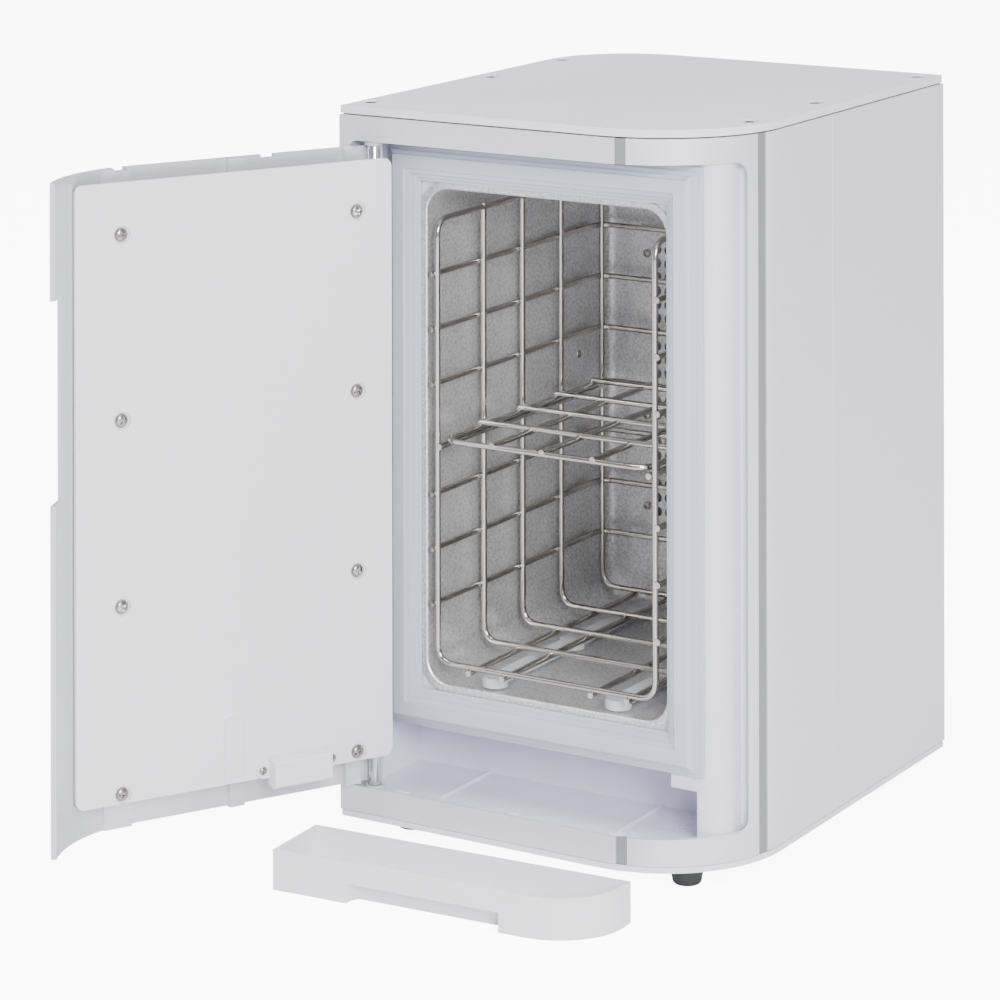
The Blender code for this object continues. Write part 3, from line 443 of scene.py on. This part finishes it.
# ---- case ----------------------------------------------------------------------------------
def build_case(mats, screws):
    outline = arc(2.0, 2.0, 2.0, 180, 270, 5) + corner_arc(0, 0, 90, 60)
    outline += arc(CASE_W - 3.0, CASE_D - 3.0, 3.0, 0, 90, 6)
    outline += arc(R_BACK, CASE_D - R_BACK, R_BACK, 90, 180, 48)
    base = prism("base_cover", outline, 0, PLATE_BASE)
    piece(base, "cabinet", mats["plate"], "base_white", "base_plate", edge=0.5)
    top = prism("top_cover", outline, CASE_H - PLATE_TOP, CASE_H)
    seats = []
    for x, y in TOP_SCREWS:
        seats.append(turned("seat", [(4.7, CASE_H - 1.6), (4.7, CASE_H + 1)], (x, y, 0)))
    combine(top, seats)
    piece(top, "cabinet", mats["plate"], "top_white", "top_plate", edge=0.7, segments=3)
    for k, (x, y) in enumerate(TOP_SCREWS):
        add_screw(f"top_screw_head_{k + 1}", screws[0], mats["screw"], "cabinet",
                  on_case(x, y, CASE_H - 1.55), (0, 0, 1), 17 + 53 * k, f"top_screw_{k + 1}")

    z0, z1 = PLATE_BASE + GAP, CASE_H - PLATE_TOP - 0.7
    back = CASE_D - R_BACK
    left = sheet("left_cover",
                 [(0, FRAME_T + GAP), (0, back)] + arc(R_BACK, back, R_BACK, 180, 90, 48)[1:],
                 [(SKIN, FRAME_T + GAP), (SKIN, back)]
                 + arc(R_BACK, back, R_BACK - SKIN, 180, 90, 48)[1:], z0, z1)
    piece(left, "cabinet", mats["panel"], "case_aluminium", "left_panel", edge=0.3)
    right = sheet("right_cover_front",
                  corner_arc(0, wrap_at_y(53.7), 90, 12) + [(CASE_W, 121.7)],
                  corner_arc(SKIN, wrap_at_y(53.7), 90, 12) + [(CASE_W - SKIN, 121.7)], z0, z1)
    piece(right, "cabinet", mats["panel"], "case_aluminium", "right_panel_front", edge=0.3)
    rear = box("right_cover_rear", CASE_W - SKIN, CASE_W, 122.1, CASE_D - 0.2, z0, z1)
    piece(rear, "cabinet", mats["panel"], "case_aluminium", "right_panel_rear", edge=0.3)

    x_end = SEAM_X0 - GAP
    r = 4.2
    opening = arc(OPEN_X0 + r, OPEN_Z0 + r, r, 270, 180, 10)
    opening += arc(OPEN_X0 + r, OPEN_Z1 - r, r, 180, 90, 10)
    flat = prism("front_frame_flat", [(0, z0), (x_end, z0), (x_end, OPEN_Z0)] + opening
                 + [(x_end, OPEN_Z1), (x_end, z1), (0, z1)], 0, FRAME_T, axis="Y")
    combine(flat, [turned("low", [(5.2, 6.0), (5.2, 30.0)], (*HINGE, 0)),
                   turned("high", [(5.2, 325.0), (5.2, 340.0)], (*HINGE, 0))])
    piece(flat, "cabinet", mats["frame"], "frame_aluminium", "front_frame_left", edge=0.45)
    w0, w1 = wrap_at_x(SEAM_X1 + GAP), wrap_at_y(47.3)
    corner = sheet("front_frame_curve", corner_arc(0, w0, w1, 48), corner_arc(FRAME_T, w0, w1, 48),
                   z0, z1)
    hole = [(120, OPEN_Z0)]
    for z, a0, a1 in ((OPEN_Z0 + 6, 270, 360), (OPEN_Z1 - 6, 0, 90)):
        hole += [(OPEN_X1 - 3.4 + 3.4 * math.cos(math.radians(t)),
                  z + 6 * math.sin(math.radians(t)))
                 for t in (a0 + (a1 - a0) * k / 10 for k in range(11))]
    hole += [(120, OPEN_Z1)]
    combine(corner, [prism("hole", hole, -10, 60, axis="Y")])
    piece(corner, "cabinet", mats["frame"], "frame_aluminium", "front_frame_corner", edge=0.45)

    s0, s1 = wrap_at_x(SEAM_X0), wrap_at_x(SEAM_X1)
    for name, a, b in (("seam_strip_top", OPEN_Z1, z1), ("seam_strip_bottom", z0, OPEN_Z0)):
        strip = sheet(name + "_bar", corner_arc(0.5, s0, s1, 6), corner_arc(FRAME_T, s0, s1, 6),
                      a, b)
        piece(strip, "cabinet", mats["strip"], "joint_strip", name, edge=0.25)
    g0, g1 = wrap_at_y(48.2), wrap_at_y(52.9)
    strip = sheet("side_groove_bar", corner_arc(0.6, g0, g1, 6), corner_arc(FRAME_T, g0, g1, 6),
                  z0, z1)
    piece(strip, "cabinet", mats["strip"], "joint_strip", "side_groove_strip", edge=0.25)

    for name, x, y in (("foot_front_left", 28, 22), ("foot_front_right", 182, 22.5),
                       ("foot_back_left", 33, 226), ("foot_back_right", 182, 228)):
        foot = turned(name + "_pad", [(3.0, -FOOT_H + 1.5), (3.4, -FOOT_H), (6.3, -FOOT_H),
                                      (7.0, -FOOT_H + 1.0), (8.0, -0.2)], (x, y, 0), sides=40)
        piece(foot, "cabinet", mats["foot"], "foot_rubber", name, edge=0.3)


# ---- liner and gasket ----------------------------------------------------------------------
def build_liner(mats):
    inset = FRAME_T + GAP
    left = OPEN_X0 - 0.2
    front_edge = corner_arc(inset, 0, wrap_at_y(47.3), 32)
    column = [(186.0, FACE_Y)] + arc(186.0, FACE_Y + 13.5, 13.5, -90, 0, 20)[1:]
    column += [(199.5, 44.6), (204.6, 47.6)]
    column_back = [(186.0, FACE_Y + LINER_T)]
    column_back += arc(186.0, FACE_Y + 13.5, 11.5, -90, 0, 20)[1:]
    column_back += [(197.5, 46.4), (203.4, 49.6)]
    top_z = OPEN_Z1 + 0.8
    body = sheet("liner_moulding", [(left, FACE_Y)] + column,
                 [(left, FACE_Y + LINER_T)] + column_back, FLOOR_Z - 1, top_z + 1)
    floor = [(left - LINER_T, inset)] + front_edge
    floor += [(204.6, 48.0), (188.0, 54.0), (188.0, RECESS_Y + LINER_T),
              (left - LINER_T, RECESS_Y + LINER_T)]
    roof = [(left - LINER_T, inset)] + front_edge
    roof += [(203.4, 49.6), (197.5, 46.4), (186.0, FACE_Y + LINER_T),
             (left - LINER_T, FACE_Y + LINER_T)]
    recess = [(left - LINER_T, FACE_Y), (188.0, FACE_Y + LINER_T / 2),
              (188.0, RECESS_Y + LINER_T), (left - LINER_T, RECESS_Y + LINER_T)]
    combine(body, [prism("floor", floor, FLOOR_Z - LINER_T, FLOOR_Z),
                   prism("roof", roof, top_z, top_z + LINER_T),
                   box("side", left - LINER_T, left, inset, FACE_Y + LINER_T,
                       FLOOR_Z - LINER_T, top_z + LINER_T),
                   prism("recess", recess, FLOOR_Z - LINER_T, CEIL_Z + LINER_T)], "UNION")
    combine(body, [
        prism("left", [(left, inset + 2), (172.0, inset + 2), (172.0, RECESS_Y),
                       (left, RECESS_Y)], FLOOR_Z, CEIL_Z),
        box("right", 171.0, 186.0, 20.0, RECESS_Y, FLOOR_Z, CEIL_Z - 7.4),
        prism("chamber", rounded(CH_X0 - 1.6, CH_X1 + 1.6, CH_Z0 - 1.6, CH_Z1 + 1.6, CH_R + 1.6, 12),
              FACE_Y - 5, FACE_Y + 8, axis="Y"),
        turned("socket", [(5.4, 0), (5.4, FLOOR_Z + 4)], (*HINGE, 0)),
        turned("bush", [(5.2, OPEN_Z1 - 5), (5.2, CASE_H - 8)], (*HINGE, 0))])
    piece(body, "cabinet", mats["liner"], "liner_plastic", "front_liner", edge=0.6)

    for k, (x, y) in enumerate(((47.5, 19.0), (146.0, 21.0))):
        rib = box(f"floor_rib_{k + 1}", x - 0.7, x + 0.7, y, RECESS_Y + 0.5, FLOOR_Z - 0.5,
                  FLOOR_Z + 1.3)
        piece(rib, "cabinet", mats["liner"], "liner_plastic", edge=0.3)
    for k, (x0, x1) in enumerate(((30, 38), (95, 100), (150, 158))):
        clip = box(f"strip_clip_{k + 1}", x0, x1, 2.9, 4.6, FLOOR_Z - 0.5, OPEN_Z0 + 0.4)
        piece(clip, "cabinet", mats["liner"], "liner_plastic", edge=0.4)

    section = [(0.0, 25.0), (0.0, 22.9), (2.6, 22.0), (2.2, 20.9), (4.4, 20.1), (4.2, 19.0),
               (6.0, 18.0), (6.0, 17.0), (12.6, 17.0), (12.6, 18.0), (15.2, 18.9),
               (14.6, 19.8), (17.2, 20.7), (16.8, 21.6), (19.0, 22.4), (19.0, 23.7),
               (14.6, 23.7), (14.6, 25.0)]
    x0, x1, z0, z1 = 14.0, 190.5, 43.0, 331.5
    loops = [[(x1 - a if sx else x0 + a, y, z1 - a if sz else z0 + a) for a, y in section]
             for sx, sz in ((0, 0), (1, 0), (1, 1), (0, 1))]
    gasket = loft("bellows_gasket", loops, closed=True)
    piece(gasket, "cabinet", mats["gasket"], "gasket_silicone", "gasket", edge=0.3, segments=3)


# ---- chamber -------------------------------------------------------------------------------
def build_chamber(mats, screws):
    def at(inset, y):
        pts = rounded(CH_X0 + inset, CH_X1 - inset, CH_Z0 + inset, CH_Z1 - inset,
                      max(2.0, CH_R - inset), 12)
        return [(x, y, z) for x, z in pts]

    rim = [math.radians(a) for a in (90, 70, 50, 30, 10, 0)]
    inner = [at(7.0 - 7.0 * math.cos(t), CH_Y1 - 7.0 + 7.0 * math.sin(t)) for t in rim]
    outer = [at(7.0 - 8.0 * math.cos(t), CH_Y1 - 7.0 + 8.0 * math.sin(t)) for t in reversed(rim)]
    loops = inner + [at(0, CH_Y0 + 0.6), at(-0.6, CH_Y0), at(-3.8, CH_Y0), at(-3.8, CH_Y0 + CH_T),
                     at(-CH_T, CH_Y0 + CH_T)] + outer
    tub = loft("chamber_tub", loops)
    combine(tub, [box("window", 61.0, 145.0, CH_Y1 - 5, CH_Y1 + 5, 108.0, 262.0)])
    piece(tub, "cabinet", mats["chamber"], "chamber_aluminium", "chamber", edge=0.0, angle=40)

    # perforated guard, one square of sheet with a round hole at a time
    cols, rows, px, pz, z_low, hole = 11, 20, 7.16, 7.3, 115.0, 2.75
    x_low = 103.0 - (cols - 1) / 2 * px
    gx0, gx1, gz0, gz1 = 57.0, 149.0, 104.0, 266.0
    verts, faces = [], []
    for i in range(cols):
        for j in range(rows):
            cx, cz = x_low + i * px, z_low + j * pz
            n = len(verts)
            verts += [(cx + sx * px / 2, 201.7, cz + sz * pz / 2)
                      for sx, sz in ((1, -1), (1, 1), (-1, 1), (-1, -1))]
            verts += [(cx + hole * math.cos(t), 201.7, cz + hole * math.sin(t))
                      for t in (math.radians(-45 + 22.5 * k) for k in range(16))]
            for side in range(4):
                ring = [n + 4 + (4 * side + k) % 16 for k in range(5)]
                faces.append((n + side, n + (side + 1) % 4, *reversed(ring)))
    hx0, hx1 = x_low - px / 2, x_low + (cols - 0.5) * px
    hz0, hz1 = z_low - pz / 2, z_low + (rows - 0.5) * pz
    for a0, a1, b0, b1 in ((gx0, gx1, gz0, hz0), (gx0, gx1, hz1, gz1), (gx0, hx0, hz0, hz1),
                           (hx1, gx1, hz0, hz1)):
        n = len(verts)
        verts += [(a0, 201.7, b0), (a1, 201.7, b0), (a1, 201.7, b1), (a0, 201.7, b1)]
        faces.append((n, n + 1, n + 2, n + 3))
    guard = make("perforated_guard", verts, faces)
    mod = guard.modifiers.new("thickness", "SOLIDIFY")
    mod.thickness = 1.0 * MM
    mod.offset = -1.0
    bake(guard)
    low = min(v.co.y for v in guard.data.vertices)
    shift = on_case(0, 201.7, 0).y - low
    for v in guard.data.vertices:
        v.co.y += shift
    piece(guard, "cabinet", mats["chamber"], "guard_aluminium", "lamp_guard", edge=0.0)
    spots = [(61.0, z) for z in (117.0, 165.0, 251.0)] + [(145.0, z) for z in (117.0, 251.0)]
    for k, (x, z) in enumerate(spots):
        add_screw(f"guard_screw_{k + 1}", screws[2], mats["screw"], "cabinet",
                  on_case(x, 201.6, z), (0, -1, 0), 31 * k)
    for k, z in enumerate((178.0, 200.0)):
        add_screw(f"wall_screw_{k + 1}", screws[2], mats["screw"], "cabinet",
                  on_case(CH_X0 + 0.05, 173.5, z), (1, 0, 0), 20 + 40 * k)


# ---- basket --------------------------------------------------------------------------------
def build_basket(mats):
    x0, x1 = HOOP_X0, HOOP_X1
    y0, y1 = HOOP_Y[0], HOOP_Y[-1]
    rim_z = ROW_Z[-1]
    # front hoop, whose ends turn back along the sides and meet round the back as the rim
    paths = [(bend([(x0, y0, rim_z - 20), (x0, y0, HOOP_Z), (x1, y0, HOOP_Z),
                    (x1, y0, rim_z - 20)], 9), False)]
    rim = bend([(x0, y0, rim_z - 20), (x0, y0, rim_z), (x0, y1 + WELD, rim_z),
                (x1, y1 + WELD, rim_z), (x1, y0, rim_z), (x1, y0, rim_z - 20)], 9)
    paths.append((rim, False))
    for y in HOOP_Y[1:]:
        top = rim_z + (2.0 if y < y1 else 1.0)
        paths.append((bend([(x0, y, top), (x0, y, HOOP_Z), (x1, y, HOOP_Z), (x1, y, top)], 9),
                      False))
    for x in (82.0, 122.6):
        paths.append(([(x, y1, HOOP_Z), (x, y1, rim_z + 1.0)], False))
    for x in (60.0, 79.0, 129.0, 149.0):
        paths.append(([(x, y0 - 2.5, HOOP_Z - WELD), (x, y1 + 2.5, HOOP_Z - WELD)], False))
    a, b = x0 - WELD, x1 + WELD
    for z in ROW_Z[:-1]:
        paths.append((bend([(a, y0 - 2.6, z), (a, y1 + WELD, z), (b, y1 + WELD, z),
                            (b, y0 - 2.6, z)], 9), False))
    for x in (x0 + WELD, x1 - WELD):
        paths.append(([(x, y0 - 2.5, RAIL_Z), (x, y1 - 1.8, RAIL_Z)], False))
    basket = wires("wire_basket", paths)
    piece(basket, "basket", mats["wire"], "wire_steel", "basket_floor", "basket_left",
          "basket_right", "basket_back", edge=0.0, angle=50)

    for name, x in (("basket_runner_left", 69.5), ("basket_runner_right", 139.0)):
        parts = [box("bar", x - 3.5, x + 3.5, 30.0, 184.0, 66.6, 71.0)]
        body = turned(name + "_rail", [(5.0, 65.3), (6.5, 66.3), (6.5, 70.9)], (x, 33.0, 0))
        for y in (108.0, 181.0):
            parts.append(turned("pad", [(5.0, 65.3), (6.5, 66.3), (6.5, 70.9)], (x, y, 0)))
        combine(body, parts, "UNION")
        piece(body, "basket", mats["clip"], "runner_plastic", name, edge=0.5)

    rim = [(x, y, SHELF_Z) for x, y in rounded(45.2, 159.4, 24.0, 185.0, 8.0, 8)]
    paths = [(rim, True)]
    for x in (74.0, 102.3, 130.6):
        paths.append(([(x, 22.4, SHELF_Z + 0.9), (x, 186.6, SHELF_Z + 0.9)], False))
    for y in (59.0, 97.0, 133.5, 171.0):
        paths.append((bend([(44.9, y, SHELF_Z + 0.5), (45.5, y, SHELF_Z + WELD),
                            (159.1, y, SHELF_Z + WELD), (159.7, y, SHELF_Z + 0.5)], 1.2, 4), False))
    shelf = wires("wire_shelf", paths)
    piece(shelf, "shelf", mats["wire"], "wire_steel", "basket_shelf", edge=0.0, angle=50)


# ---- door ----------------------------------------------------------------------------------
def build_door(mats, screws):
    shell = sheet("door_skin", [(DOOR_X0, 0)] + corner_arc(0, 0, DOOR_ARC, 48),
                  [(DOOR_X0, DOOR_T)] + corner_arc(DOOR_T, 0, DOOR_ARC, 48), DOOR_Z0, DOOR_Z1,
                  where=on_door)
    combine(shell, [box("rib", a, b, 2.2, 6.0, DOOR_Z0, DOOR_Z1, on_door)
                    for a, b in ((147.5, 162.0), (88.0, 96.0), (24.5, 33.0))], "UNION")
    grip = corner_arc(-4, GRIP_ARC, DOOR_ARC + 6, 8)
    grip += list(reversed(corner_arc(DOOR_T + 6, GRIP_ARC, DOOR_ARC + 6, 8)))
    notches = [box("notch", a, b, -2.0, DOOR_T + 5, DOOR_Z1 - 1.6, DOOR_Z1 + 3, on_door)
               for a, b in ((149.5, 156.0), (70.0, 77.0))]
    combine(shell, [prism("grip", grip, 181.0, 276.0, where=on_door)] + notches)
    piece(shell, "door", mats["shell"], "door_aluminium", "door_shell", edge=0.4)

    y0, y1 = 6.3, PANEL_Y0 - GAP
    lining = DOOR_T + GAP
    foam = prism("door_core", [(24.5, y0)]
                 + corner_arc(lining, wrap_at_y(y0, lining), wrap_at_y(y1, lining), 12)
                 + [(24.5, y1)], PANEL_Z0 + 1.5, PANEL_Z1 - 1.5, where=on_door)
    piece(foam, "door", mats["foam"], "door_foam_black", "door_foam", edge=0.3)

    panel = prism("door_lining", rounded(PANEL_X0, PANEL_X1, PANEL_Z0, PANEL_Z1, 4.0, 8),
                  PANEL_Y0, PANEL_Y1, axis="Y", where=on_door)
    head = PANEL_Y1 - 1.4
    combine(panel, [turned("seat", [(4.1, head), (4.6, 20.0)], (x, 0, z), axis="Y", where=on_door)
                    for x, z in PANEL_SCREWS])
    piece(panel, "door", mats["white"], "white_plastic", "door_inner_panel", edge=0.55, segments=3)
    bead = bend([(94.5, PANEL_Y1 - 0.5, PANEL_Z0 + 1), (94.5, PANEL_Y1 - 0.5, 66.0),
                 (105.0, PANEL_Y1 - 0.5, 66.0), (105.0, PANEL_Y1 - 0.5, PANEL_Z0 + 1)], 4.8, 8)
    bead = wires("pressed_bead", [(bead, False)], radius=1.1, where=on_door)
    piece(bead, "door", mats["white"], "white_plastic", edge=0.0, angle=50)

    out = on_door(0, 1, 0) - on_door(0, 0, 0)
    for k, (x, z) in enumerate(PANEL_SCREWS):
        add_screw(f"panel_screw_{k + 1}", screws[1], mats["screw"], "door",
                  on_door(x, head + 0.05, z), out, 23 + 37 * k, f"door_screw_{k + 1}")

    y = PANEL_Y1 + 0.2
    block = prism("magnet_case", [(y, 29.4), (y + 7.0, 29.4), (y + 8.0, 30.4), (y + 8.0, 41.0),
                                  (y + 7.0, 42.4), (y, 42.4)], 50.0, 81.0, axis="X", where=on_door)
    combine(block, [prism("lugs", rounded(43.5, 87.5, 33.4, 41.0, 3.7), y, y + 1.4, axis="Y",
                          where=on_door)], "UNION")
    piece(block, "door", mats["white"], "white_plastic", "magnet_block", edge=0.7, segments=3)
    for k, x in enumerate((46.9, 84.2)):
        add_screw(f"magnet_screw_{k + 1}", screws[2], mats["screw"], "door",
                  on_door(x, y + 1.4, 37.2), out, 11 + 60 * k)

    rod = turned("hinge_pin", [(2.7, 12.2), (3.1, 12.8), (3.1, 336.4), (2.7, 337.0)],
                 (HINGE[0], HINGE[1], 0), sides=40, where=on_door)
    piece(rod, "door", mats["chrome"], "hinge_chrome", "hinge_rod", edge=0.0)
    for name, radius, z0, z1, bore in (
            ("hinge_bush_bottom", 4.9, FLOOR_Z - 4.0, DOOR_Z0 - 1.5, 12.0),
            ("hinge_bush_top", 4.8, 338.5, DOOR_Z1 + 0.5, 337.3)):
        bush = turned(name + "_cup", [(radius, z0), (radius, z1), (3.19, z1), (3.19, bore)],
                      (HINGE[0], HINGE[1], 0), sides=40)
        piece(bush, "cabinet", mats["socket"], "hinge_and_lamp_plastic", name, edge=0.3)


# ---- drip tray -----------------------------------------------------------------------------
def tray_outline(inset):
    x0, x1 = inset, TRAY_W - inset
    y0, y1 = inset, TRAY_D - inset
    rx, ry = 36.0 - inset, 33.0 - inset
    pts = [(x0, y1), (x0, y0)]
    for k in range(33):
        t = math.radians(-90 + 90 * k / 32)
        pts.append((x1 - rx + rx * math.cos(t), y0 + ry + ry * math.sin(t)))
    return pts + [(x1, y1)]


def build_tray(mats):
    tray = prism("tray_moulding", tray_outline(0), 0, TRAY_H, where=on_tray)
    space = prism("space", tray_outline(1.8), 2.0, TRAY_H + 5, where=on_tray)
    combine(space, [box("handle", 38.0, 122.0, -5, 9.0, -5, 11.0, on_tray)])
    grip = [(40.0, -5.0), (120.0, -5.0), (120.0, 4.0), (118.0, 8.0), (42.0, 8.0), (40.0, 4.0)]
    combine(tray, [space, prism("grip", grip, -5, 9.2, where=on_tray)])
    combine(tray, [box("lip", 47.0, 124.0, 0.4, 1.6, TRAY_H - 2, TRAY_H + 0.9, on_tray)], "UNION")
    piece(tray, "tray", mats["tray"], "tray_plastic", "drip_tray", edge=0.5)


# ---- pieces shown as the CAD has them ------------------------------------------------------
def dress_cad(mats):
    looks = {"rear_panel": "panel", "lamp_box": "panel", "chamber_insulation": "wool",
             "heater_mat": "heater", "thermostat": "black", "uv_lamp": "glass",
             "lamp_socket_bottom": "socket", "lamp_socket_top": "socket", "lamp_ballast": "black",
             "door_switch": "black", "power_inlet": "black", "switch_housing": "black",
             "power_rocker": "black"}
    for name, look in looks.items():
        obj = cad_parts[name]
        for k in range(len(obj.material_slots)):
            obj.material_slots[k].material = mats[look]
        mod = obj.modifiers.new("edges", "BEVEL")
        mod.width = 0.3 * MM
        mod.segments = 2
        mod.limit_method = "ANGLE"
        mod.angle_limit = math.radians(40)


# ---- camera, floor and light ---------------------------------------------------------------
def add_camera():
    data = bpy.data.cameras.new("camera")
    data.sensor_width = 36.0
    data.lens = 134.03
    data.shift_y = -0.92427          # a level camera with its lens shifted down
    cam = bpy.data.objects.new("camera", data)
    bpy.context.scene.collection.objects.link(cam)
    a, roll = math.radians(31.3507), math.radians(-0.11565)
    right = Vector((math.cos(a), math.sin(a), 0))
    forward = Vector((-math.sin(a), math.cos(a), 0))
    up = Vector((0, 0, 1))
    x = right * math.cos(roll) + up * math.sin(roll)
    y = up * math.cos(roll) - right * math.sin(roll)
    pose = Matrix((x, y, -forward)).transposed().to_4x4()
    pose.translation = on_case(1023.482, -1526.384, 610.908)
    cam.matrix_world = pose
    bpy.context.scene.camera = cam


def add_light(name, place_at, target, size, power, color=(1, 1, 1)):
    data = bpy.data.lights.new(name, "AREA")
    data.shape = "RECTANGLE"
    data.size, data.size_y = size
    data.energy = power
    data.color = color
    obj = bpy.data.objects.new(name, data)
    bpy.context.scene.collection.objects.link(obj)
    obj.location = place_at
    obj.rotation_euler = (Vector(target) - Vector(place_at)).to_track_quat("-Z", "Y").to_euler()


def seen_only(tree, socket, seen, otherwise):
    """Gives a strength one value where the camera sees it, another for all other rays."""
    path = tree.nodes.new("ShaderNodeLightPath")
    ramp = tree.nodes.new("ShaderNodeMapRange")
    ramp.inputs["To Min"].default_value = otherwise
    ramp.inputs["To Max"].default_value = seen
    tree.links.new(path.outputs["Is Camera Ray"], ramp.inputs["Value"])
    tree.links.new(ramp.outputs["Result"], socket)


def add_stage():
    """Pale floor, surround and three lamps. The floor and the surround shine white for direct
    view only, and give the object no light that way."""
    mesh = bpy.data.meshes.new("floor")
    mesh.from_pydata([(-8, -8, 0), (8, -8, 0), (8, 8, 0), (-8, 8, 0)], [], [(0, 1, 2, 3)])
    floor = bpy.data.objects.new("floor", mesh)
    bpy.context.scene.collection.objects.link(floor)
    floor.location.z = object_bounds()[0][2] - 0.0002
    mesh.materials.append(surface("pale_floor", (0.93, 0.93, 0.94), 0.6, grain=60, bump=0.01,
                                  tint=0.005, cloud=1))
    tree = floor.active_material.node_tree
    shader = next(n for n in tree.nodes if n.type == "BSDF_PRINCIPLED")
    shader.inputs["Emission Color"].default_value = (1, 1, 1, 1)
    seen_only(tree, shader.inputs["Emission Strength"], SEEN_FLOOR, 0.0)
    world = bpy.data.worlds.new("studio")
    bpy.context.scene.world = world
    world.use_nodes = True
    back = world.node_tree.nodes["Background"]
    back.inputs["Color"].default_value = (0.93, 0.94, 1.0, 1)
    seen_only(world.node_tree, back.inputs["Strength"], SEEN_SURROUND, AMBIENT)
    add_light("key", (2.2, -2.1, 1.4), (0, 0, 0.15), (1.2, 1.2), KEY_W)
    add_light("top", (0.0, -0.3, 2.4), (0, 0, 0.2), (1.8, 1.8), TOP_W)
    add_light("left", (-2.2, -1.2, 0.9), (0, 0, 0.15), (0.8, 1.6), LEFT_W)


def main():
    mats = all_materials()
    screws = [screw_mesh("screw_top", 4.6, 1.5), screw_mesh("screw_panel", 3.5, 1.5),
              screw_mesh("screw_small", 2.2, 0.9)]
    build_case(mats, screws)
    build_liner(mats)
    build_chamber(mats, screws)
    build_basket(mats)
    build_door(mats, screws)
    build_tray(mats)
    dress_cad(mats)
    add_camera()
    add_stage()


main()
